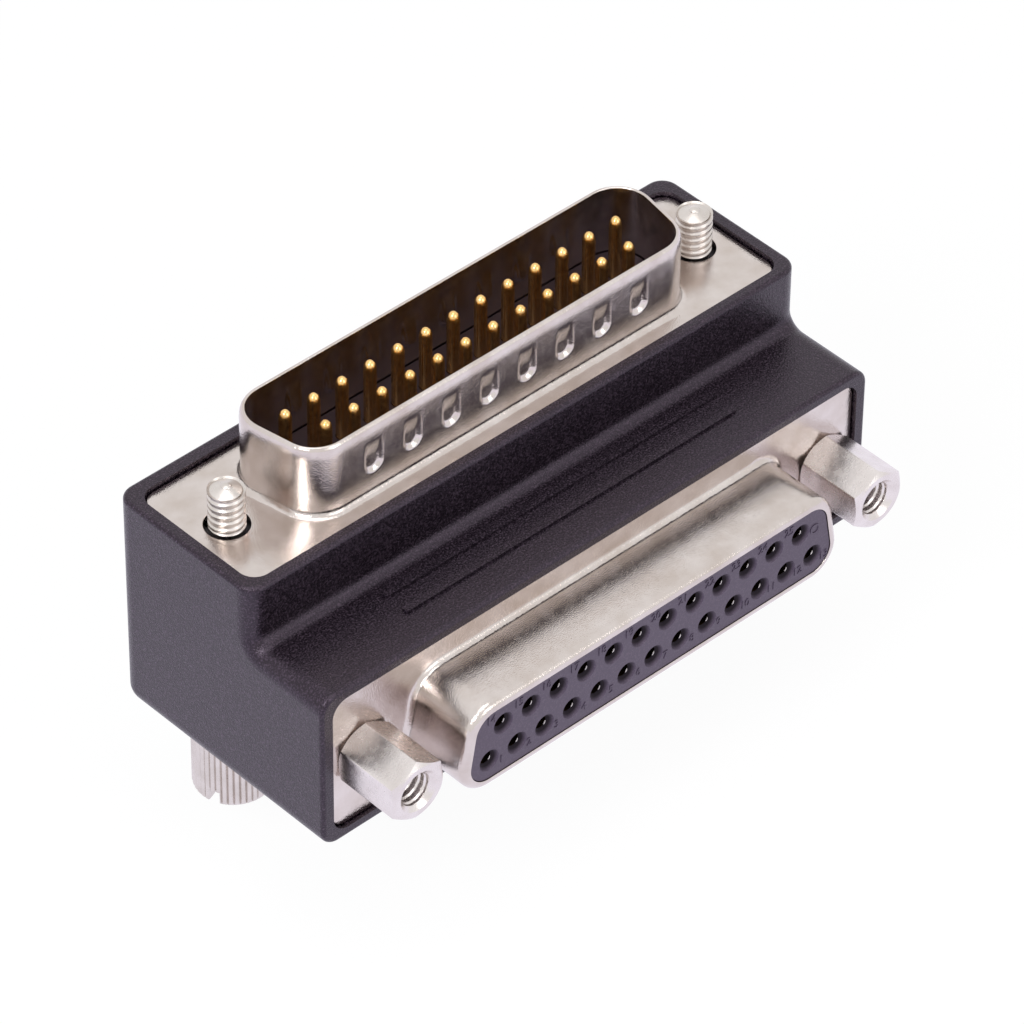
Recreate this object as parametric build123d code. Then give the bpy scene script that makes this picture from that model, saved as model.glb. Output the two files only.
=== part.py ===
from build123d import *
import math
import os

os.makedirs("parts", exist_ok=True)

# Right-angle adapter between a 25-way D plug, facing up, and a 25-way D socket,
# facing forward. Millimetres. Origin at the centre of the plug flange's front face,
# +Z out of the plug, -Y out of the socket, X along both connectors.

# Contact pattern of both connectors
pitch = 2.76
row_gap = 2.84
wide_count = 13

# D collars: the plug's inside lies these far beyond the end contacts and the rows,
# and a socket's outside goes into it with a gap at its ends and sides
collar_end = 2.92
collar_side = 2.705
mating_end = 0.29
mating_side = 0.175
side_angle = 10
d_corner = 2.6
plug_reach = 6.4
plug_lip = 0.3
socket_reach = 6.12
socket_roll = 0.65
socket_rim = 0.72

# Sheet flange of both connectors, measured on from the plug collar's inside
sheet = 0.45
screw_margin = 4.04
flange_end = 3.0
flange_side = 2.15
flange_corner = 1.3
flange_hole = 1.75
draw_radius = 0.6

# Dimples pressed into both long walls of the plug collar
dimple_count = 8
dimple_pitch = 3.8
dimple_width = 1.7
dimple_foot = 1.9
dimple_head = 5.1
dimple_depth = 0.3

# Place of the socket: down from the plug flange and forward of the plug's middle
socket_drop = 12.28
socket_forward = 14.5

# Moulded housing
rim_end = 1.06
rim_side = 0.905
rim_back = 1.25
seat_gap = 0.12
plug_recess = 0.42
socket_recess = 0.36
wall = 1.8
ledge = 0.8
inner_corner = 1.0
heel_corner = 1.6
end_edge = 1.5
frame_edge = 0.35
rib_inset = 10.9
rib_width = 0.7
rib_height = 0.25
rib_offset = 2.1
rib_spacing = 2.2

# Moulded insulators
block_depth = 5.0
lip_depth = 1.2
fit_gap = 0.1
press_gap = 0.03
plug_floor = 0.3
face_drop = 0.1
lead_radius = 0.95
lead_depth = 0.5

# Contacts
pin_radius = 0.51
pin_reach = 5.9
pin_nose = 0.45
pin_tip = 0.2
pin_tail = 0.8
tube_size = 1.5
tube_mouth = 1.1
tube_depth = 6.0
wire = 0.64
wire_bend = 0.9

# Captive thumbscrews
thread_radius = 1.42
thread_reach = 3.8
tip_length = 0.6
tip_radius = 0.95
neck_radius = 1.25
shank_radius = 1.58
running_gap = 0.07
screw_travel = 4.2
stop_gap = 0.3
pocket_wall = 0.55
retainer_radius = 2.4
retainer_sheet = 0.5
retainer_mouth = 1.6
groove_radius = 0.9
head_radius = 3.15
head_height = 5.8
head_gap = 0.1
head_chamfer = 0.45
knurl_count = 22
knurl_depth = 0.3
slot_width = 1.0
slot_depth = 1.3
slot_turn = 20

# Hexagonal jackscrews
hex_flats = 4.76
hex_length = 6.1
hex_chamfer = 0.32
hex_face = 2.25
tapped_radius = 1.42
tapped_depth = 5.2
mouth_radius = 1.75
mouth_depth = 0.33
stud_radius = 1.4
stud_length = 6.0

# Worked out from the values above
plug_length = (wide_count - 1) * pitch + 2 * collar_end
plug_width = row_gap + 2 * collar_side
socket_length = plug_length - 2 * mating_end
socket_width = plug_width - 2 * mating_side
screw_x = plug_length / 2 + screw_margin
flange_length = 2 * (screw_x + flange_end)
flange_width = plug_width + 2 * flange_side
body_half = flange_length / 2 + seat_gap + rim_end
limb_half = flange_width / 2 + seat_gap + rim_side
limb_back = flange_width / 2 + seat_gap + rim_back
rib_length = 2 * (body_half - rib_inset)
step_z = limb_half - socket_drop
base_z = -limb_half - socket_drop
front_y = -socket_forward - socket_recess
lip_rear = -sheet - lip_depth
pocket_radius = retainer_radius + stop_gap
seat_half_length = screw_x - pocket_radius - pocket_wall
seat_half_width = limb_half - wall
cavity_half_length = seat_half_length - ledge
cavity_half_width = seat_half_width - ledge
retainer_top = -sheet - stop_gap
retainer_low = retainer_top - retainer_sheet
pocket_floor = retainer_low - screw_travel - stop_gap
head_top = base_z - head_gap
head_low = head_top - head_height
pin_rear = -block_depth - pin_tail
face_reach = socket_reach - face_drop
tube_front = face_reach - lead_depth

# How near two coordinates have to be to count as the same
near = 1e-4

# The plug is drawn where it is. The socket is drawn face up in the same way and
# then turned to face forward, with its wide side down.
plug_place = Location()
socket_place = Plane(
    origin=(0, -socket_forward, -socket_drop), x_dir=(-1, 0, 0), z_dir=(0, -1, 0)
).location


def cylinder(radius, low, high):
    """An upright cylinder between two heights."""
    return Pos(0, 0, low) * extrude(Circle(radius), high - low)


def block(length, width, low, high):
    """A centred upright block between two heights."""
    return Pos(0, 0, low) * extrude(Rectangle(length, width), high - low)


def plate(length, width, corner, low, high):
    """A centred upright block with round corners in plan."""
    return Pos(0, 0, low) * extrude(RectangleRounded(length, width, corner), high - low)


def d_prism(length, width, corner, low, high):
    """A D outline, wide side towards +Y, carried from one height to another."""
    slope = math.tan(math.radians(side_angle))
    spread = corner * (slope + 1 / math.cos(math.radians(side_angle)) - 1)
    wide = length / 2 + spread
    narrow = wide - width * slope
    corners = [
        (-wide, width / 2), (wide, width / 2), (narrow, -width / 2), (-narrow, -width / 2),
    ]
    outline = make_face(Polyline(*corners, close=True))
    return Pos(0, 0, low) * extrude(fillet(outline.vertices(), corner), high - low)


def turned(*points):
    """A turned piece: a closed half section of (radius, height) points spun about Z."""
    return revolve(Plane.XZ * make_face(Polyline(*points, close=True)), Axis.Z)


def at_screws(shape, place=plug_place):
    """Copies of a shape at the two screw centres of one connector."""
    return [place * Pos(x, 0, 0) * shape for x in (-screw_x, screw_x)]


def contact_places():
    """Contact places by number: the wide row first, then the narrow row."""
    rows = ((wide_count, row_gap / 2), (wide_count - 1, -row_gap / 2))
    return [((i - (count - 1) / 2) * pitch, y) for count, y in rows for i in range(count)]


def flat_edges(shape, height, length, width):
    """Edges that lie at one height within a centred rectangle."""
    return [
        edge for edge in shape.edges()
        if abs(edge.center().Z - height) < near
        and abs(edge.center().X) < length / 2 + near
        and abs(edge.center().Y) < width / 2 + near
    ]


def flange_with(collar, length, width):
    """Sheet flange with its screw holes and a collar, drawn round where they meet."""
    flange = plate(flange_length, flange_width, flange_corner, -sheet, 0)
    shell = flange - at_screws(cylinder(flange_hole, -sheet, 0)) + collar
    return fillet(flat_edges(shell, 0, length, width), draw_radius)


def dimple(width):
    """A slot with a round foot, standing along X on the Y origin."""
    foot = dimple_foot + dimple_width / 2
    head = Pos(0, (foot + dimple_head) / 2) * Rectangle(width, dimple_head - foot)
    outline = head + Pos(0, foot) * Circle(width / 2)
    return extrude(Plane.XZ * outline, dimple_depth, both=True)


def dimples(width, distance):
    """Dimple slots along both long walls at a distance from the middle."""
    places = [(i - (dimple_count - 1) / 2) * dimple_pitch for i in range(dimple_count)]
    return [Pos(x, side * distance, 0) * dimple(width) for x in places for side in (-1, 1)]


def make_plug_shell():
    """Plug shell: flange and open D collar, its long walls dimpled inwards."""
    length = plug_length + 2 * sheet
    width = plug_width + 2 * sheet
    collar = d_prism(length, width, d_corner + sheet, -sheet, plug_reach)
    shell = flange_with(collar, length, width)
    shell = fillet(flat_edges(shell, plug_reach, length, width), plug_lip)
    shell -= d_prism(plug_length, plug_width, d_corner, -sheet, plug_reach)
    shell += dimples(dimple_width + sheet, plug_width / 2)
    return shell - dimples(dimple_width, plug_width / 2 + sheet)


def socket_d(inset, low, high):
    """The socket's D outline, moved in by an inset, between two heights."""
    return d_prism(
        socket_length - 2 * inset, socket_width - 2 * inset, d_corner - inset, low, high
    )


def make_socket_shell():
    """Socket shell: flange and D collar, its rim rolled in round the insulator."""
    shell = flange_with(socket_d(0, -sheet, socket_reach), socket_length, socket_width)
    shell = fillet(flat_edges(shell, socket_reach, socket_length, socket_width), socket_roll)
    shell -= socket_d(socket_rim, -sheet, socket_reach)
    shell -= socket_d(sheet, -sheet, socket_reach - sheet)
    return socket_place * shell


def insulator_base():
    """The part of an insulator behind its flange: a wide lip and a narrower block."""
    lip = block(
        2 * (seat_half_length - fit_gap), 2 * (seat_half_width - fit_gap), lip_rear, -sheet
    )
    rear = block(
        2 * (cavity_half_length - fit_gap), 2 * (cavity_half_width - fit_gap),
        -block_depth, lip_rear,
    )
    return lip + rear


def make_plug_insulator():
    """Plug insulator: a low floor in the collar with a hole for each pin."""
    floor = d_prism(
        plug_length - 2 * fit_gap, plug_width - 2 * fit_gap, d_corner - fit_gap,
        -sheet, plug_floor,
    )
    hole = cylinder(pin_radius + press_gap, -block_depth, plug_floor)
    return insulator_base() + floor - [Pos(x, y, 0) * hole for x, y in contact_places()]


def make_socket_insulator():
    """Socket insulator: fills its collar, with a lead-in and a square well per contact."""
    shoulder = socket_reach - sheet - fit_gap
    face = socket_d(socket_rim + fit_gap, shoulder, face_reach)
    body = socket_d(sheet + fit_gap, -sheet, shoulder)
    lead = turned(
        (0, tube_front), (tube_mouth / 2, tube_front), (lead_radius, face_reach), (0, face_reach)
    )
    well_size = tube_size + 2 * press_gap
    hole = lead + block(well_size, well_size, -block_depth, tube_front)
    insulator = insulator_base() + body + face
    return socket_place * (insulator - [Pos(x, y, 0) * hole for x, y in contact_places()])


def make_pin(x, y):
    """Plug pin: a round wire with a tapered nose."""
    return Pos(x, y, 0) * turned(
        (0, pin_rear), (pin_radius, pin_rear), (pin_radius, pin_reach - pin_nose),
        (pin_tip, pin_reach), (0, pin_reach),
    )


def make_contact(x, y):
    """Socket contact: a square tube, and a tail bent up to the rear of its pin."""
    height = -socket_drop - y
    start = block_depth - socket_forward
    half = wire / 2
    outline = make_face(Polyline(
        (start, height - half), (y + half, height - half), (y + half, pin_rear),
        (y - half, pin_rear), (y - half, height + half), (start, height + half),
        close=True,
    ))
    outer = outline.vertices().sort_by_distance((y + half, height - half))[0]
    outline = fillet(outer, wire_bend + wire)
    inner = outline.vertices().sort_by_distance((y - half, height + half))[0]
    tail = extrude(Plane.YZ * fillet(inner, wire_bend), half, both=True)
    tube = block(tube_size, tube_size, -block_depth, tube_front)
    tube -= block(tube_mouth, tube_mouth, tube_front - tube_depth, tube_front)
    return Pos(x, 0, 0) * tail + socket_place * Pos(-x, y, 0) * tube


def connector_room(recess, reach):
    """What one connector takes out of the housing: recess, seat and cavity."""
    pocket = plate(
        flange_length + 2 * seat_gap, flange_width + 2 * seat_gap,
        flange_corner + seat_gap, -sheet, recess,
    )
    seat = block(2 * seat_half_length, 2 * seat_half_width, lip_rear, -sheet)
    cavity = block(
        2 * cavity_half_length, 2 * cavity_half_width, -reach - cavity_half_width, lip_rear
    )
    return pocket + seat + cavity


def make_housing():
    """Housing: an L moulding with round edges, two ribs and room for both connectors."""
    outline = make_face(Polyline(
        (front_y, base_z), (limb_back, base_z), (limb_back, plug_recess),
        (-limb_half, plug_recess), (-limb_half, step_z), (front_y, step_z),
        close=True,
    ))
    heel = outline.vertices().sort_by_distance((limb_back, base_z))[0]
    outline = fillet(heel, heel_corner)
    inner = outline.vertices().sort_by_distance((-limb_half, step_z))[0]
    body = extrude(Plane.YZ * fillet(inner, inner_corner), body_half, both=True)
    body = fillet([edge for edge in body.edges() if on_end(edge) and not on_frame(edge)], end_edge)
    body = fillet([edge for edge in body.edges() if on_frame(edge)], frame_edge)
    rib = extrude(SlotOverall(rib_length, rib_width), rib_height)
    first = -limb_half - rib_offset
    body += [Pos(0, y, step_z) * rib for y in (first, first - rib_spacing)]
    body -= plug_place * connector_room(plug_recess, socket_drop)
    body -= socket_place * connector_room(socket_recess, socket_forward)
    body -= at_screws(cylinder(shank_radius + running_gap, base_z, -sheet))
    body -= at_screws(cylinder(pocket_radius, pocket_floor, -sheet))
    stud_hole = cylinder(stud_radius + press_gap, -stud_length - stop_gap, -sheet)
    return body - at_screws(stud_hole, socket_place)


def on_end(edge):
    """Whether an edge of the housing lies in one of its end faces."""
    return abs(abs(edge.center().X) - body_half) < near


def on_frame(edge):
    """Whether an edge of the housing lies in the top or the front frame's face."""
    return abs(edge.center().Z - plug_recess) < near or abs(edge.center().Y - front_y) < near


def make_thumbscrew():
    """Thumbscrew: shank, retainer groove, neck, thread and a knurled, slotted head."""
    rod = turned(
        (0, head_top), (shank_radius, head_top),
        (shank_radius, retainer_low - running_gap), (groove_radius, retainer_low - running_gap),
        (groove_radius, retainer_top + running_gap), (neck_radius, retainer_top + running_gap),
        (neck_radius, 0), (thread_radius, 0),
        (thread_radius, thread_reach - tip_length), (tip_radius, thread_reach), (0, thread_reach),
    )
    step = math.pi / knurl_count
    radii = (head_radius, head_radius - knurl_depth)
    teeth = [
        (radii[i % 2] * math.cos(i * step), radii[i % 2] * math.sin(i * step))
        for i in range(2 * knurl_count)
    ]
    knurl = Pos(0, 0, head_low) * extrude(make_face(Polyline(*teeth, close=True)), head_height)
    face = head_radius - head_chamfer
    barrel = turned(
        (0, head_low), (face, head_low), (head_radius, head_low + head_chamfer),
        (head_radius, head_top - head_chamfer), (face, head_top), (0, head_top),
    )
    slot = block(2 * head_radius, slot_width, head_low, head_low + slot_depth)
    return rod + (knurl & barrel) - Rot(0, 0, slot_turn) * slot


def make_retainer():
    """Retainer: an open ring that sits in the thumbscrew's groove."""
    ring = cylinder(retainer_radius, retainer_low, retainer_top)
    ring -= cylinder(groove_radius + running_gap, retainer_low, retainer_top)
    mouth = block(retainer_mouth, retainer_radius, retainer_low, retainer_top)
    return ring - Pos(0, retainer_radius / 2, 0) * mouth


def make_jackscrew():
    """Jackscrew: a hexagonal standoff, tapped in front, with a stud behind."""
    corner = hex_flats / 2 / math.cos(math.pi / 6)
    barrel = turned(
        (0, 0), (hex_face, 0), (corner, hex_chamfer), (corner, hex_length - hex_chamfer),
        (hex_face, hex_length), (0, hex_length),
    )
    body = extrude(RegularPolygon(corner, 6, rotation=90), hex_length) & barrel
    mouth = turned(
        (0, hex_length - mouth_depth), (tapped_radius, hex_length - mouth_depth),
        (mouth_radius, hex_length), (0, hex_length),
    )
    tapped = cylinder(tapped_radius, hex_length - tapped_depth, hex_length)
    return body + cylinder(stud_radius, -stud_length, 0) - tapped - mouth


nodes = {
    "housing": make_housing(),
    "male_shell": make_plug_shell(),
    "male_insulator": make_plug_insulator(),
    "female_shell": make_socket_shell(),
    "female_insulator": make_socket_insulator(),
    "jackscrews": Compound(children=at_screws(make_jackscrew(), socket_place)),
}
for side, screw, retainer in zip(
    ("left", "right"), at_screws(make_thumbscrew()), at_screws(make_retainer())
):
    nodes[f"thumbscrew_{side}"] = screw
    nodes[f"retainer_{side}"] = retainer
for number, (x, y) in enumerate(contact_places(), 1):
    nodes[f"male_pin_{number:02d}"] = make_pin(x, y)
    nodes[f"female_socket_{number:02d}"] = make_contact(x, y)

for name, shape in nodes.items():
    export_step(shape, f"parts/{name}.step")
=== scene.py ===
import math

import bmesh
import bpy
import numpy as np
from mathutils import Matrix, Vector


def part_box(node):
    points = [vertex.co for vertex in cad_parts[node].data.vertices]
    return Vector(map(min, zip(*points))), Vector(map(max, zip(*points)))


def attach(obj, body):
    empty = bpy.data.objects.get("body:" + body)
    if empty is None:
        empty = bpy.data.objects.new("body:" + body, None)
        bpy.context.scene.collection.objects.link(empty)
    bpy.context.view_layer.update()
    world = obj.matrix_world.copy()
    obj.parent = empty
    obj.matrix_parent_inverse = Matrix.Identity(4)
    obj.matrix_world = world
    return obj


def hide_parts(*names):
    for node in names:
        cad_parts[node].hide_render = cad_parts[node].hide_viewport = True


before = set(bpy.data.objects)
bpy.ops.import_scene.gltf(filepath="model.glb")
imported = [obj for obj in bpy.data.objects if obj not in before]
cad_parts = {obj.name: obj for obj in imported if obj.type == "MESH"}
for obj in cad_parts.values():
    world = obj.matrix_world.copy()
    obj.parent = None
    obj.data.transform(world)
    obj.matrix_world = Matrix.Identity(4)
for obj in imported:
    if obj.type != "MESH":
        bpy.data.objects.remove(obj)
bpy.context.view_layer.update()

# Sizes are in millimetres, and meshes are written in metres.
MM = 0.001
TURN = 2 * math.pi


def node_box(node):
    """A solid's lowest and highest corners, in millimetres."""
    low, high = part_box(node)
    return np.array(low) / MM, np.array(high) / MM


# Sizes that the frame gives
plug_low, plug_high = node_box("male_shell")
socket_low, socket_high = node_box("female_shell")
hex_low, hex_high = node_box("jackscrews")
screw_low, screw_high = node_box("thumbscrew_right")
pin_low, pin_high = node_box("male_pin_01")
sheet = -plug_low[2]
flange_length = plug_high[0] - plug_low[0]
flange_width = plug_high[1] - plug_low[1]
plug_reach = plug_high[2]
socket_forward = -socket_high[1] + sheet
socket_drop = -(socket_low[2] + socket_high[2]) / 2
socket_reach = -socket_low[1] - socket_forward
screw_x = (screw_low[0] + screw_high[0]) / 2
head_radius = (screw_high[0] - screw_low[0]) / 2
thread_reach = screw_high[2]
head_low = screw_low[2]
hex_length = -hex_low[1] - socket_forward
stud_length = hex_high[1] + socket_forward
pin_radius = (pin_high[0] - pin_low[0]) / 2
pin_rear = pin_low[2]
pin_reach = pin_high[2]

# D collars, drawn from sheet
side_angle = 10
d_corner = 2.6
plug_length = 38.96
plug_width = 8.25
socket_length = 38.38
socket_width = 7.9
draw_radius = 0.6
flange_corner = 1.3
flange_hole = 1.75
punched_edge = 0.07
lead_height = 0.95
lead_inset = 0.2
lip_radius = 0.12
roll_radius = 0.65
rim_width = 0.72
dimple_count = 8
dimple_pitch = 3.8
dimple_width = 1.9
dimple_foot = 1.9
dimple_head = 5.1
dimple_depth = 0.3
dimple_flank = 0.42
outer_head_flank = 2.0
inner_head_flank = 2.9

# Thumbscrews
thread_radius = 1.42
thread_pitch = 0.6
thread_depth = 0.15
thread_rows = 14
thread_columns = 96
thread_end = 0.42
nub_radius = 0.42
nub_height = 0.2
tip_radius = 1.1
tip_drop = 0.62
tip_round = 0.2
shank_radius = 1.58
neck_radius = 1.25
groove_radius = 0.9
groove_top = -0.68
groove_low = -1.32
head_top = -19.68
head_chamfer = 0.45
knurl_count = 40
knurl_columns = 8
knurl_depth = 0.2
slot_width = 1.0
slot_depth = 1.3
slot_turn = 20

# Jackscrews
hex_flats = 4.76
hex_round = 0.14
hex_chamfer = 0.32
hex_face = 2.25
tapped_radius = 1.42
tapped_depth = 5.2
mouth_radius = 1.75
mouth_depth = 0.33
mouth_round = 0.04
drill_point = 0.5
stud_radius = 1.4
stud_chamfer = 0.4

# Pins
nose_length = 0.8

# Contact numbers on the socket's face
pitch = 2.76
row_gap = 2.84
wide_count = 13
face_reach = 6.02
digit_size = 1.0
digit_rise = 0.05
wide_label = (1.2, -0.62)
narrow_label = (-1.23, 1.02)
ring_mark = (1.5, -0.3)
ring_size = 1.3

# Ends of the spring tines in the lead-ins
tine_radius = 0.42
tine_bar = 0.06
tine_middle = -30
tine_half = 28
tine_depth = 0.42


def connector_to_row(points):
    """Turns the socket's own axes into the row's: (x, y, z) goes to (-x, -forward - z, -drop - y)."""
    x, y, z = np.moveaxis(points, -1, 0)
    return np.stack([-x, -socket_forward - z, -socket_drop - y], axis=-1)


def arc(x, y, radius, start, end, steps):
    """Points on an arc: the centre plus the radius times (cos a, sin a), a running evenly in degrees."""
    a = np.radians(np.linspace(start, end, steps + 1))
    return np.column_stack([x + radius * np.cos(a), y + radius * np.sin(a)])


def rounded(corners, radius, runs, arc_steps):
    """Spine and outward normals of a convex outline with round corners.

    Each corner's arc centre is the corner moved in along both sides' normals by the radius.
    Round it the normal turns evenly, and along a side the spine moves evenly.
    """
    corners = np.array(corners, float)
    sides = np.roll(corners, -1, axis=0) - corners
    sides /= np.linalg.norm(sides, axis=1)[:, None]
    normals = np.column_stack([sides[:, 1], -sides[:, 0]])
    before = np.roll(normals, 1, axis=0)
    share = 1 + np.sum(before * normals, axis=1)
    centres = corners - radius * (before + normals) / share[:, None]
    after = np.roll(centres, -1, axis=0)
    spine, outward = [], []
    for i, run in enumerate(runs):
        start = math.atan2(before[i, 1], before[i, 0])
        swing = (math.atan2(normals[i, 1], normals[i, 0]) - start) % TURN
        a = start + swing * np.linspace(0, 1, arc_steps + 1)
        t = np.linspace(0, 1, run + 2)[1:-1, None]
        spine += [np.tile(centres[i], (arc_steps + 1, 1)), centres[i] + t * (after[i] - centres[i])]
        outward += [np.column_stack([np.cos(a), np.sin(a)]), np.tile(normals[i], (run, 1))]
    return np.concatenate(spine), np.concatenate(outward)


def rectangle(length, width, radius, arc_steps=10):
    """Spine and normals of a centred rectangle with round corners."""
    x, y = length / 2, width / 2
    return rounded([(-x, -y), (x, -y), (x, y), (-x, y)], radius, (1, 1, 1, 1), arc_steps)


def d_outline(length, width, radius, runs, arc_steps):
    """Spine and normals of a D outline, its wide side towards +Y.

    The sides lean in by the side angle, so the narrow side is shorter by twice the width
    times its tangent, and the length is measured over the round wide corners.
    """
    slope = math.tan(math.radians(side_angle))
    spread = radius * (slope + 1 / math.cos(math.radians(side_angle)) - 1)
    wide = length / 2 + spread
    narrow = wide - width * slope
    y = width / 2
    return rounded([(-narrow, -y), (narrow, -y), (wide, y), (-wide, y)], radius, runs, arc_steps)


def sweep(spine, normals, profile):
    """A profile of (offset, height) carried round an outline: spine plus offset times normal."""
    flat = spine[:, None] + profile[None, :, :1] * normals[:, None]
    height = np.broadcast_to(profile[None, :, 1:], flat.shape[:2] + (1,))
    return np.concatenate([flat, height], axis=2)


def circle(steps):
    """Spine and normals of a circle about Z: the spine stays at the middle."""
    a = np.linspace(0, TURN, steps, endpoint=False)
    normals = np.column_stack([np.cos(a), np.sin(a)])
    return np.zeros_like(normals), normals


def spin(profile, steps):
    """A profile of (radius, height) spun about Z."""
    return sweep(*circle(steps), np.array(profile, float))


def smoothstep(t):
    """Rises from 0 to 1 with level ends: t squared times (3 - 2 t)."""
    t = np.clip(t, 0, 1)
    return t * t * (3 - 2 * t)


def make_piece(name, body, finish, grids, replaced=(), flats=(), sharp=35, cut=()):
    """One closed mesh from grids of points that close round their first direction.

    Neighbouring grids are welded where their points meet. Flats are (axis, value) planes,
    in which every open rim is filled.
    """
    points, faces, count = [], [], 0
    for grid in grids:
        rows, columns = grid.shape[:2]
        index = count + np.arange(rows * columns).reshape(rows, columns)
        ahead = np.roll(index, -1, axis=0)
        quads = np.stack([index[:, :-1], ahead[:, :-1], ahead[:, 1:], index[:, 1:]], axis=-1)
        points.append(grid.reshape(-1, 3))
        faces.append(quads.reshape(-1, 4))
        count += rows * columns
    points, faces = np.concatenate(points) * MM, np.concatenate(faces)
    mesh = bpy.data.meshes.new(name)
    mesh.vertices.add(len(points))
    mesh.vertices.foreach_set("co", points.ravel())
    mesh.loops.add(faces.size)
    mesh.loops.foreach_set("vertex_index", faces.ravel())
    mesh.polygons.add(len(faces))
    mesh.polygons.foreach_set("loop_start", np.arange(0, faces.size, 4))
    mesh.update(calc_edges=True)
    mended = bmesh.new()
    mended.from_mesh(mesh)
    bmesh.ops.remove_doubles(mended, verts=mended.verts, dist=1e-6)
    for axis, value in flats:
        rim = [
            edge for edge in mended.edges
            if edge.is_boundary and all(abs(v.co[axis] - value * MM) < 2e-6 for v in edge.verts)
        ]
        bmesh.ops.triangle_fill(mended, edges=rim, use_beauty=True)
    bmesh.ops.recalc_face_normals(mended, faces=mended.faces)
    mended.to_mesh(mesh)
    mended.free()
    piece = bpy.data.objects.new(name, mesh)
    bpy.context.scene.collection.objects.link(piece)
    if cut:
        carve(piece, *cut)
    mesh = piece.data
    mesh.polygons.foreach_set("use_smooth", np.ones(len(mesh.polygons), bool))
    mesh.set_sharp_from_angle(angle=math.radians(sharp))
    mesh.materials.append(finish)
    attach(piece, body)
    if replaced:
        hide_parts(*replaced)
    return piece


def carve(piece, centre, size, turn):
    """Cuts a box out of a piece: centre, three sizes and a turn about Z in degrees."""
    pick = np.array([[i & 1, i >> 1 & 1, i >> 2 & 1] for i in range(8)])
    sides = [(0, 2, 3, 1), (4, 5, 7, 6), (0, 1, 5, 4), (2, 6, 7, 3), (0, 4, 6, 2), (1, 3, 7, 5)]
    x, y, z = ((pick - 0.5) * size).T
    a = math.radians(turn)
    corners = np.column_stack([x * math.cos(a) - y * math.sin(a), x * math.sin(a) + y * math.cos(a), z])
    mesh = bpy.data.meshes.new("cutter")
    mesh.from_pydata(((corners + centre) * MM).tolist(), [], sides)
    cutter = bpy.data.objects.new("cutter", mesh)
    bpy.context.scene.collection.objects.link(cutter)
    change = piece.modifiers.new("cut", "BOOLEAN")
    change.operation = "DIFFERENCE"
    change.solver = "EXACT"
    change.object = cutter
    graph = bpy.context.evaluated_depsgraph_get()
    result = bpy.data.meshes.new_from_object(piece.evaluated_get(graph))
    piece.modifiers.remove(change)
    piece.data = result
    bpy.data.objects.remove(cutter)


# Finishes. Patterns are scaled in cells for each metre, and heights are in metres.
swell_scale = 700
plating_grain = 9000
plastic_glint = (0.90, 0.74, 0.93, 1)


def new_finish(name, colour, metallic, roughness):
    """A shader with its plain values set, and the nodes that its patterns hang on."""
    finish = bpy.data.materials.new(name)
    finish.use_nodes = True
    tree = finish.node_tree
    shader = tree.nodes["Principled BSDF"]
    shader.inputs["Base Color"].default_value = (*colour, 1)
    shader.inputs["Metallic"].default_value = metallic
    shader.inputs["Roughness"].default_value = roughness
    return finish, tree, shader


def pattern(tree, scale, detail=2.0, stretch=(1, 1, 1), rough=0.5):
    """Noise on Object coordinates, its scale in cells for each metre."""
    place = tree.nodes.new("ShaderNodeTexCoord")
    mapping = tree.nodes.new("ShaderNodeMapping")
    noise = tree.nodes.new("ShaderNodeTexNoise")
    mapping.inputs["Scale"].default_value = stretch
    noise.inputs["Scale"].default_value = scale
    noise.inputs["Detail"].default_value = detail
    noise.inputs["Roughness"].default_value = rough
    tree.links.new(place.outputs["Object"], mapping.inputs["Vector"])
    tree.links.new(mapping.outputs["Vector"], noise.inputs["Vector"])
    return noise.outputs["Fac"]


def spread(tree, value, low, high, start=0.3, end=0.7):
    """Maps a pattern's middle range to a range of values."""
    ramp = tree.nodes.new("ShaderNodeMapRange")
    ramp.inputs["From Min"].default_value = start
    ramp.inputs["From Max"].default_value = end
    ramp.inputs["To Min"].default_value = low
    ramp.inputs["To Max"].default_value = high
    tree.links.new(value, ramp.inputs["Value"])
    return ramp.outputs["Result"]


def tint(tree, value, first, second):
    """Mixes two colours by a pattern."""
    mix = tree.nodes.new("ShaderNodeMix")
    mix.data_type = "RGBA"
    mix.inputs["A"].default_value = (*first, 1)
    mix.inputs["B"].default_value = (*second, 1)
    tree.links.new(value, mix.inputs["Factor"])
    return mix.outputs["Result"]


def relief(tree, shader, layers):
    """Bumps from patterns, each with its height in metres, one laid on the next."""
    normal = None
    for value, height in layers:
        bump = tree.nodes.new("ShaderNodeBump")
        bump.inputs["Strength"].default_value = 1
        bump.inputs["Distance"].default_value = height
        tree.links.new(value, bump.inputs["Height"])
        if normal is not None:
            tree.links.new(normal, bump.inputs["Normal"])
        normal = bump.outputs["Normal"]
    tree.links.new(normal, shader.inputs["Normal"])


def plated(name, light, dark, gloss, clouds, height):
    """Plated metal: cloudy in colour and gloss, over slow swells and a fine grain."""
    finish, tree, shader = new_finish(name, light, 1.0, gloss)
    cloudy = spread(tree, pattern(tree, clouds, 4), 0, 1)
    tree.links.new(tint(tree, cloudy, light, dark), shader.inputs["Base Color"])
    patches = spread(tree, pattern(tree, 2.3 * clouds, 3), gloss - 0.05, gloss + 0.05)
    tree.links.new(patches, shader.inputs["Roughness"])
    grain = pattern(tree, plating_grain, 1)
    relief(tree, shader, [(pattern(tree, swell_scale, 1), 0.8 * height), (grain, 1.4 * height)])
    return finish


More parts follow.
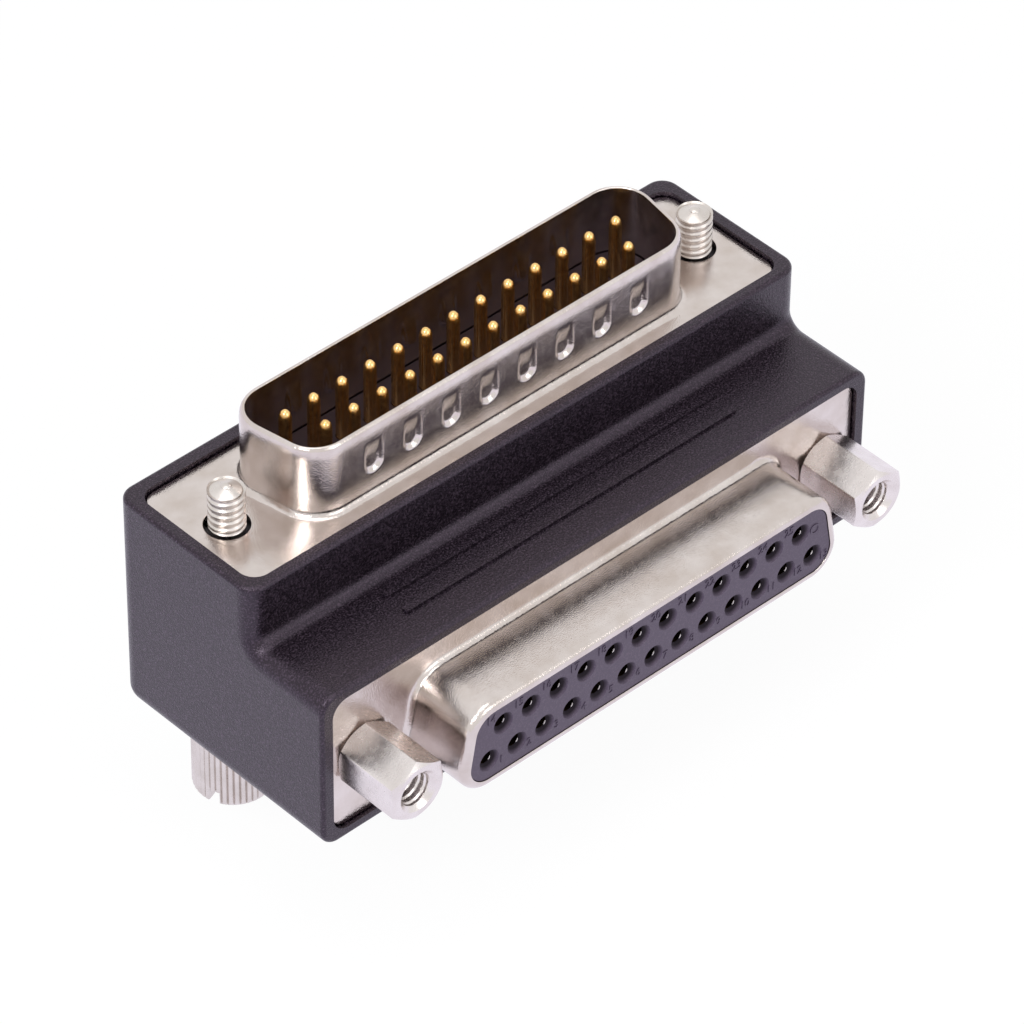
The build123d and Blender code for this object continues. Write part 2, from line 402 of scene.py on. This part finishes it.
def spark_eroded(name, dark, light, roughness, index, grain, height):
    """Black plastic from a spark-eroded mould: lighter specks in its colour, partly the grain's own tone
    and partly painted glints of grains that catch the light one by one.
    """
    finish, tree, shader = new_finish(name, dark, 0.0, roughness)
    shader.inputs["IOR"].default_value = index
    shader.inputs["Specular Tint"].default_value = plastic_glint
    # Painted glints: grain-sized specks of the light colour mixed into the dark base colour.
    painted_glints = spread(tree, pattern(tree, grain, 2, rough=0.7), 0, 1, 0.5, 0.7)
    tree.links.new(tint(tree, painted_glints, dark, light), shader.inputs["Base Color"])
    patches = spread(tree, pattern(tree, grain, 2), roughness - 0.08, roughness + 0.08)
    tree.links.new(patches, shader.inputs["Roughness"])
    relief(tree, shader, [(pattern(tree, grain, 2, rough=0.6), height)])
    return finish


def darken_inwards(finish, face, depth):
    """Paints shade: lets a moulding's colour fall to black behind a plane across Y, where deep holes lie in
    shade.
    """
    tree = finish.node_tree
    shader = tree.nodes["Principled BSDF"]
    place = tree.nodes.new("ShaderNodeTexCoord")
    split = tree.nodes.new("ShaderNodeSeparateXYZ")
    tree.links.new(place.outputs["Object"], split.inputs["Vector"])
    hole_shade = spread(tree, split.outputs["Y"], 0, 1, (face + 0.03) * MM, (face + depth) * MM)
    mix = tree.nodes.new("ShaderNodeMix")
    mix.data_type = "RGBA"
    tree.links.new(hole_shade, mix.inputs["Factor"])
    tree.links.new(shader.inputs["Base Color"].links[0].from_socket, mix.inputs["A"])
    mix.inputs["B"].default_value = (0, 0, 0, 1)
    tree.links.new(mix.outputs["Result"], shader.inputs["Base Color"])
    tree.links.new(spread(tree, hole_shade, 0.4, 1, 0, 1), shader.inputs["Roughness"])


sheet_finish = plated(
    "plated_sheet", light=(0.70, 0.64, 0.615), dark=(0.59, 0.52, 0.48),
    gloss=0.16, clouds=420, height=0.000011,
)
screw_finish = plated(
    "plated_screw", light=(0.79, 0.74, 0.725), dark=(0.71, 0.655, 0.635),
    gloss=0.26, clouds=700, height=0.000006,
)
gold_finish = plated(
    "gold_flash", light=(0.93, 0.64, 0.28), dark=(0.80, 0.50, 0.18),
    gloss=0.2, clouds=1200, height=0.000001,
)
shade_finish = plated(
    "gold_in_shade", light=(0.20, 0.12, 0.05), dark=(0.12, 0.07, 0.03),
    gloss=0.35, clouds=1200, height=0.000001,
)
thumb_finish = plated(
    "plated_thumbscrew", light=(0.71, 0.66, 0.63), dark=(0.61, 0.56, 0.52),
    gloss=0.3, clouds=700, height=0.000006,
)
# Painted shade: the retainers' spring steel is coloured near black for the shade they sit in.
shaded_steel = plated(
    "steel_in_painted_shade", light=(0.07, 0.065, 0.07), dark=(0.04, 0.035, 0.04),
    gloss=0.5, clouds=900, height=0.000002,
)
housing_finish = spark_eroded(
    "housing_black", dark=(0.003, 0.001, 0.003), light=(0.08, 0.056, 0.078),
    roughness=0.3, index=1.55, grain=6800, height=0.000035,
)
face_finish = spark_eroded(
    "insulator_face", dark=(0.042, 0.030, 0.054), light=(0.085, 0.066, 0.100),
    roughness=0.4, index=1.79, grain=7000, height=0.000008,
)
floor_finish = spark_eroded(
    "insulator_floor", dark=(0.016, 0.009, 0.012), light=(0.024, 0.014, 0.018),
    roughness=0.5, index=1.45, grain=7000, height=0.000008,
)
# Painted shade down the lead-in holes of the socket's face.
darken_inwards(face_finish, -socket_forward - face_reach, 0.3)


# Shells


def flange_grids(thickness):
    """The flange's outer edge and its two screw holes, each a small round at both faces."""
    e, low = punched_edge, -thickness
    rim = np.concatenate([
        arc(-e, -e, e, 90, 0, 4), arc(-e, low + e, e, 0, -90, 4),
    ])
    hole = np.concatenate([
        arc(flange_hole + e, -e, e, 90, 180, 4), arc(flange_hole + e, low + e, e, 180, 270, 4),
    ])
    spine, normals = rectangle(flange_length, flange_width, flange_corner)
    edge = sweep(spine + flange_corner * normals, normals, rim)
    holes = [spin(hole, 48) + (x, 0, 0) for x in (-screw_x, screw_x)]
    return [edge, *holes]


def dimple_field(x, height, head_flank):
    """How deep the wall is pressed in at a place along it and at a height.

    A dimple is a slot with a round foot. The depth rises smoothly from its edge inwards,
    over a narrow flank at the sides and foot and a long one at the head.
    """
    nearest = (x / dimple_pitch + dimple_count / 2) // 1
    nearest = np.clip(nearest, 0, dimple_count - 1) - (dimple_count - 1) / 2
    across = np.abs(x - nearest * dimple_pitch)
    half = dimple_width / 2
    below = np.maximum(dimple_foot + half - height, 0)
    inside = half - np.hypot(across, below)
    head = smoothstep((dimple_head + 0.1 - height) / head_flank)
    return dimple_depth * smoothstep(inside / dimple_flank) * head


def plug_shell():
    """The plug's shell: a D collar whose lip leads in, drawn out of a flange and dimpled."""
    runs = (330, 3, 350, 3)
    spine, normals = d_outline(plug_length, plug_width, d_corner, runs, 12)
    spine = spine + d_corner * normals
    lead = np.radians(np.linspace(0, 80, 9))
    wall = np.linspace(dimple_foot - 0.15, dimple_head + 0.15, 42)
    outer = np.concatenate([
        arc(sheet + draw_radius, draw_radius, draw_radius, -90, -180, 8),
        np.column_stack([np.full_like(wall, sheet), wall]),
        np.column_stack([
            sheet - lead_inset * (1 - np.cos(lead)),
            plug_reach - lip_radius - lead_height * (1 - np.sin(lead)),
        ]),
        arc(sheet - lead_inset - lip_radius, plug_reach - lip_radius, lip_radius, 15, 90, 5),
    ])
    inner = np.concatenate([
        arc(lip_radius, plug_reach - lip_radius, lip_radius, 90, 180, 5),
        np.column_stack([np.zeros_like(wall), wall[::-1]]),
        [(0, -sheet)],
    ])
    grid = sweep(spine, normals, np.concatenate([outer, inner]))
    long_wall = np.abs(normals[:, 1:]) > 0.999
    head_flank = np.where(np.arange(grid.shape[1]) < len(outer), outer_head_flank, inner_head_flank)
    depth = np.where(long_wall, dimple_field(grid[:, :, 0], grid[:, :, 2], head_flank), 0)
    grid[:, :, 1] -= depth * normals[:, 1:]
    return make_piece(
        "plug_shell", "body", sheet_finish, [*flange_grids(sheet), grid],
        ["male_shell"], [(2, 0), (2, -sheet)], sharp=60,
    )


def socket_shell():
    """The socket's shell: a D collar drawn out of a flange, its rim rolled in."""
    spine, normals = d_outline(socket_length, socket_width, d_corner, (24, 3, 24, 3), 14)
    spine = spine + d_corner * normals
    r, top = roll_radius, socket_reach
    profile = np.concatenate([
        arc(draw_radius, draw_radius, draw_radius, -90, -180, 8),
        [(0, 1.5), (0, 3.0), (0, 4.5)],
        arc(-r, top - r, r, 0, 90, 10),
        arc(-rim_width, top - 0.05, 0.05, 90, 180, 3),
        [(-rim_width, top - sheet), (-sheet, top - sheet), (-sheet, -sheet)],
    ])
    grids = [*flange_grids(sheet), sweep(spine, normals, profile)]
    return make_piece(
        "socket_shell", "body", sheet_finish,
        [connector_to_row(grid) for grid in grids], ["female_shell"],
        [(1, -socket_forward), (1, -socket_forward + sheet)],
    )


# Screws


def thread_drop(angle, height, pitch_height):
    """How far a thread's surface lies below its crest: a rounded wave along the helix."""
    phase = (height / pitch_height - angle / TURN) % 1
    wave = 0.5 + 0.5 * np.cos(TURN * phase)
    return 1 - smoothstep(1.25 * wave - 0.05)


def thumbscrew(side, x):
    """A thumbscrew: radius by angle and height.

    The threaded end's radius is its envelope less the thread's wave. The head's is its
    barrel, and the flutes are cut into it as a wave round the axis.
    """
    columns = knurl_count * knurl_columns
    dome = np.radians(np.linspace(0, 85, 9))
    tip = np.concatenate([
        np.column_stack([nub_radius * np.sin(dome), thread_reach - nub_height * (1 - np.cos(dome))]),
        arc(tip_radius, thread_reach - tip_drop, tip_round, 65, 20, 3),
    ])
    turns = np.arange(thread_reach - thread_end, 0.02, -thread_pitch / thread_rows)
    threaded = np.column_stack([np.full_like(turns, thread_radius), turns])
    shank = np.array([
        (thread_radius, 0), (neck_radius, 0), (neck_radius, groove_top),
        (groove_radius, groove_top), (groove_radius, groove_low),
        (shank_radius, groove_low), (shank_radius, head_top),
        (head_radius - head_chamfer - 0.1, head_top),
    ])
    c = head_chamfer
    barrel = np.linspace(head_top - c - 0.1, head_low + c + 0.1, 8)
    head = np.concatenate([
        arc(head_radius - c, head_top - c, c, 90, 10, 6),
        np.column_stack([np.full_like(barrel, head_radius), barrel]),
        arc(head_radius - c, head_low + c, c, -10, -90, 6),
        [(0, head_low)],
    ])
    profile = np.concatenate([tip, threaded, shank, head])
    grid = spin(profile, columns)
    angle = np.arctan2(grid[:, :, 1], grid[:, :, 0])
    radius, height = np.broadcast_to(profile[None], grid.shape[:2] + (2,)).transpose(2, 0, 1)
    fade = smoothstep(height / 0.15) * smoothstep((thread_reach - 0.35 - height) / 0.25)
    drop = thread_depth * thread_drop(angle, height, thread_pitch) * np.where(height > 0, fade, 0)
    ridge = np.abs(np.cos(knurl_count * angle / 2))
    flute = head_radius - knurl_depth * (1 - ridge ** 0.7)
    in_head = height < head_top - 1e-3
    wanted = np.where(in_head, np.minimum(radius, flute), radius - drop)
    angle = np.linspace(0, TURN, columns, endpoint=False)[:, None]
    grid[:, :, 0] = wanted * np.cos(angle) + x
    grid[:, :, 1] = wanted * np.sin(angle)
    slot = ((x, 0, head_low), (4 * head_radius, slot_width, 2 * slot_depth), slot_turn)
    return make_piece(
        f"captive_screw_{side}", f"{side}_screw", thumb_finish, [grid],
        [f"thumbscrew_{side}"], cut=slot,
    )


def jackscrew_grids(x):
    """One jackscrew: a chamfered hexagon, a thread inside it and a stud behind.

    At each point round the hexagon the chamfer takes off what a cone, as wide as the face
    ring at the end, leaves outside it.
    """
    corner = hex_flats / 2 / math.cos(math.pi / 6)
    a = np.radians(np.arange(6) * 60 + 30)
    corners = np.column_stack([corner * np.cos(a), corner * np.sin(a)])
    spine, normals = rounded(corners, hex_round, (5,) * 6, 4)
    outline = spine + hex_round * normals
    reach = np.linalg.norm(outline, axis=1)
    taken = hex_chamfer * (reach - hex_face) / (corner - hex_face)
    ring = outline / reach[:, None] * hex_face
    level = np.zeros_like(taken)
    ends = [
        (ring, level), (outline, taken),
        (outline, hex_length - taken), (ring, level + hex_length),
    ]
    hexagon = np.stack([np.column_stack([flat, height]) for flat, height in ends], axis=1)
    mouth = hex_length - mouth_depth
    turns = np.arange(mouth, hex_length - tapped_depth, -thread_pitch / thread_rows)
    inside = np.concatenate([
        arc(mouth_radius + mouth_round, hex_length - mouth_round, mouth_round, 90, 150, 2),
        [(tapped_radius + 0.02, mouth + 0.02)],
        np.column_stack([np.full_like(turns, tapped_radius), turns]),
        [(0, hex_length - tapped_depth - drill_point)],
    ])
    tapped = spin(inside, thread_columns)
    angle = np.linspace(0, TURN, thread_columns, endpoint=False)[:, None]
    radius, height = inside[None, :, 0], inside[None, :, 1]
    fade = smoothstep((mouth + 0.1 - height) / 0.3) * (radius > 0)
    crest = 1 - thread_drop(-angle, height, thread_pitch)
    wanted = radius - thread_depth * fade * crest
    tapped[:, :, 0] = wanted * np.cos(angle)
    tapped[:, :, 1] = wanted * np.sin(angle)
    stud = spin([
        (stud_radius, 0), (stud_radius, -stud_length + stud_chamfer),
        (stud_radius - stud_chamfer, -stud_length), (0, -stud_length),
    ], 40)
    return [connector_to_row(grid + (x, 0, 0)) for grid in (hexagon, tapped, stud)]


def jackscrews():
    """Both jackscrews, two solids of one piece."""
    return make_piece(
        "screwlocks", "body", screw_finish,
        jackscrew_grids(-screw_x) + jackscrew_grids(screw_x), ["jackscrews"],
        [(1, -socket_forward), (1, -socket_forward - hex_length)], sharp=30,
    )


# Contacts


def contact_place(number):
    """Where a contact lies in the socket's face, along X and up, from its own number.

    Each row is centred, with one pitch from number to number.
    """
    if number <= wide_count:
        return (number - 1 - (wide_count - 1) / 2) * pitch, -row_gap / 2
    return (number - wide_count - wide_count / 2) * pitch, row_gap / 2


def pins():
    """The plug's pins: a round wire whose nose is a quarter of an ellipse with a flat tip."""
    nose = np.radians(np.linspace(0, 80, 10))
    profile = np.concatenate([
        [(0, pin_rear), (pin_radius, pin_rear), (pin_radius, 0.5)],
        np.column_stack([
            pin_radius * np.cos(nose),
            pin_reach - nose_length * (1 - np.sin(nose) / math.sin(nose[-1])),
        ]),
        [(0, pin_reach)],
    ])
    for number in range(1, 2 * wide_count):
        node = f"male_pin_{number:02d}"
        low, high = node_box(node)
        place = ((low[0] + high[0]) / 2, (low[1] + high[1]) / 2, 0)
        grid = spin(profile, 28) + place
        make_piece(f"pin_{number:02d}", "body", gold_finish, [grid], [node])


def label_points(words, size):
    """Points and faces of a short raised label, flat in X and Y and centred."""
    curve = bpy.data.curves.new("label", "FONT")
    curve.body, curve.size, curve.extrude = words, size, digit_rise
    curve.align_x, curve.align_y = "CENTER", "CENTER"
    holder = bpy.data.objects.new("label", curve)
    bpy.context.scene.collection.objects.link(holder)
    graph = bpy.context.evaluated_depsgraph_get()
    mesh = bpy.data.meshes.new_from_object(holder.evaluated_get(graph))
    points = np.zeros(len(mesh.vertices) * 3)
    mesh.vertices.foreach_get("co", points)
    faces = [tuple(polygon.vertices) for polygon in mesh.polygons]
    bpy.data.objects.remove(holder)
    bpy.data.meshes.remove(mesh)
    return points.reshape(-1, 3), faces


def contact_numbers():
    """Raised numbers beside the lead-ins, and a ring mark after the last.

    A label's flat points lie in the face: along X, up Z, and its height runs out of the face.
    The wide row's labels stand right and low of their holes, the narrow row's left and high.
    """
    labels = []
    for number in range(1, 2 * wide_count):
        column, row = contact_place(number)
        across, up = wide_label if number <= wide_count else narrow_label
        labels.append((str(number), column + across, row + up, digit_size))
    labels.append(("O", column + ring_mark[0], row + ring_mark[1], ring_size * digit_size))
    points, faces, count = [], [], 0
    for words, across, up, size in labels:
        flat, corners = label_points(words, size)
        x, y, z = flat.T
        points.append(np.column_stack([across + x, -socket_forward - face_reach - z, up - socket_drop + y]))
        faces += [[count + i for i in polygon] for polygon in corners]
        count += len(flat)
    mesh = bpy.data.meshes.new("contact_numbers")
    mesh.from_pydata((np.concatenate(points) * MM).tolist(), [], faces)
    piece = bpy.data.objects.new("contact_numbers", mesh)
    bpy.context.scene.collection.objects.link(piece)
    mesh.materials.append(face_finish)
    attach(piece, "body")


def tine_ends():
    """The rolled ends of the spring tines, seen at the bottom of the lead-ins.

    Each is a thin round bar bent to part of a circle about its contact: ring radius plus
    bar radius times (cos, sin) along the arc, its ends narrowed to points.
    """
    around = np.radians(np.linspace(0, 360, 9)[:-1])
    along = np.linspace(-1, 1, 15)
    bar = tine_bar * np.sqrt(np.clip(1 - along ** 2, 0, 1))
    swing = np.radians(tine_middle + tine_half * along)
    reach = tine_radius + bar * np.cos(around)[:, None]
    rise = bar * np.sin(around)[:, None]
    grid = np.stack([reach * np.cos(swing), -rise, reach * np.sin(swing)], axis=-1)
    depth = -socket_forward - face_reach + tine_depth
    grids = []
    for number in range(1, 2 * wide_count):
        column, row = contact_place(number)
        grids.append(grid + (column, depth, row - socket_drop))
    make_piece("tine_ends", "body", screw_finish, grids)


plug_shell()
socket_shell()
for side, x in (("left", -screw_x), ("right", screw_x)):
    thumbscrew(side, x)
jackscrews()
pins()
contact_numbers()
tine_ends()

# Solids that keep their own shape
solid_finishes = {
    "housing": housing_finish,
    "male_insulator": floor_finish,
    "female_insulator": face_finish,
    "retainer_left": shaded_steel,
    "retainer_right": shaded_steel,
}
for number in range(1, 2 * wide_count):
    solid_finishes[f"female_socket_{number:02d}"] = shade_finish
for name, finish in solid_finishes.items():
    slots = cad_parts[name].data.materials
    slots.clear()
    slots.append(finish)

# Floor, camera and light

floor_height = -30.5
floor_half = 1500
floor_in_gloss = (1.03, 1.01, 1.13)
floor_shine = 1.05
shadow_share = 0.1
world_fill = 0.26
camera_place = (-251.24, -270.35, 312.64)
camera_right = (0.7307, -0.6827, 0.0098)
camera_up = (0.4457, 0.4878, 0.7507)
camera_back = (-0.5172, -0.5441, 0.6606)
camera_lens = 229.1
camera_shift = (-0.0084, -0.0066)


def white_to_camera(tree, other, share):
    """Mixes a surface with plain white light for camera, glossy and transmission rays."""
    path = tree.nodes.new("ShaderNodeLightPath")
    total = None
    for name in ("Is Camera Ray", "Is Glossy Ray", "Is Transmission Ray"):
        if total is None:
            total = path.outputs[name]
            continue
        highest = tree.nodes.new("ShaderNodeMath")
        highest.operation = "MAXIMUM"
        tree.links.new(total, highest.inputs[0])
        tree.links.new(path.outputs[name], highest.inputs[1])
        total = highest.outputs[0]
    scaled = tree.nodes.new("ShaderNodeMath")
    scaled.operation = "MULTIPLY"
    scaled.inputs[1].default_value = share
    tree.links.new(total, scaled.inputs[0])
    mix = tree.nodes.new("ShaderNodeMixShader")
    tree.links.new(scaled.outputs[0], mix.inputs[0])
    tree.links.new(other.outputs[0], mix.inputs[1])
    return mix


def floor():
    """A wide pale floor that shows white, slightly blue in gloss, and takes a faint shadow."""
    mesh = bpy.data.meshes.new("floor")
    signs = np.array([(-1, -1), (1, -1), (1, 1), (-1, 1)])
    corners = np.column_stack([signs * floor_half, np.full(4, floor_height)])
    mesh.from_pydata((corners * MM).tolist(), [], [(0, 1, 2, 3)])
    piece = bpy.data.objects.new("floor", mesh)
    bpy.context.scene.collection.objects.link(piece)
    finish, tree, shader = new_finish("floor_white", (0.86, 0.86, 0.86), 0.0, 0.8)
    shine = tree.nodes.new("ShaderNodeEmission")
    shine.inputs["Strength"].default_value = floor_shine
    path = tree.nodes.new("ShaderNodeLightPath")
    shade = tint(tree, path.outputs["Is Camera Ray"], floor_in_gloss, (1, 1, 1))
    tree.links.new(shade, shine.inputs["Color"])
    mix = white_to_camera(tree, shader, 1 - shadow_share)
    tree.links.new(shine.outputs[0], mix.inputs[2])
    tree.links.new(mix.outputs[0], tree.nodes["Material Output"].inputs["Surface"])
    mesh.materials.append(finish)


def surroundings():
    """A white world to the camera and to gloss, and a dimmer one that fills the shadows."""
    world = bpy.data.worlds.new("studio")
    bpy.context.scene.world = world
    world.use_nodes = True
    tree = world.node_tree
    fill = tree.nodes["Background"]
    fill.inputs["Color"].default_value = (1, 1, 1, 1)
    fill.inputs["Strength"].default_value = world_fill
    white = tree.nodes.new("ShaderNodeBackground")
    white.inputs["Color"].default_value = (1, 1, 1, 1)
    white.inputs["Strength"].default_value = 1
    mix = white_to_camera(tree, fill, 1)
    tree.links.new(white.outputs[0], mix.inputs[2])
    tree.links.new(mix.outputs[0], tree.nodes["World Output"].inputs["Surface"])


def softbox(name, place, size, power, colour=(1, 1, 1), glossy=True):
    """A square area light that faces the object, its place and size in millimetres."""
    light = bpy.data.lights.new(name, "AREA")
    light.size = size * MM
    light.energy = power
    light.color = colour
    holder = bpy.data.objects.new(name, light)
    bpy.context.scene.collection.objects.link(holder)
    holder.location = Vector(place) * MM
    holder.rotation_euler = (-Vector(place)).to_track_quat("-Z", "Y").to_euler()
    holder.visible_glossy = glossy


def camera():
    """The camera, in the place and turn that the photograph's own view has."""
    data = bpy.data.cameras.new("camera")
    data.sensor_width = 36
    data.lens = camera_lens
    data.shift_x, data.shift_y = camera_shift
    data.clip_start, data.clip_end = 0.01, 10
    holder = bpy.data.objects.new("camera", data)
    bpy.context.scene.collection.objects.link(holder)
    turn = Matrix((camera_right, camera_up, camera_back)).transposed().to_4x4()
    holder.matrix_world = Matrix.Translation(Vector(camera_place) * MM) @ turn
    bpy.context.scene.camera = holder


floor()
surroundings()
softbox("key_light", (-420, -120, 380), 180, 1.0)
softbox("top_light", (-60, -40, 600), 400, 0.8)
softbox("front_light", (100, -520, 300), 300, 0.5)
softbox("side_light", (-620, 20, 20), 260, 2.0, (0.62, 0.72, 1.0), glossy=False)
camera()
bpy.context.scene.view_settings.view_transform = "Standard"
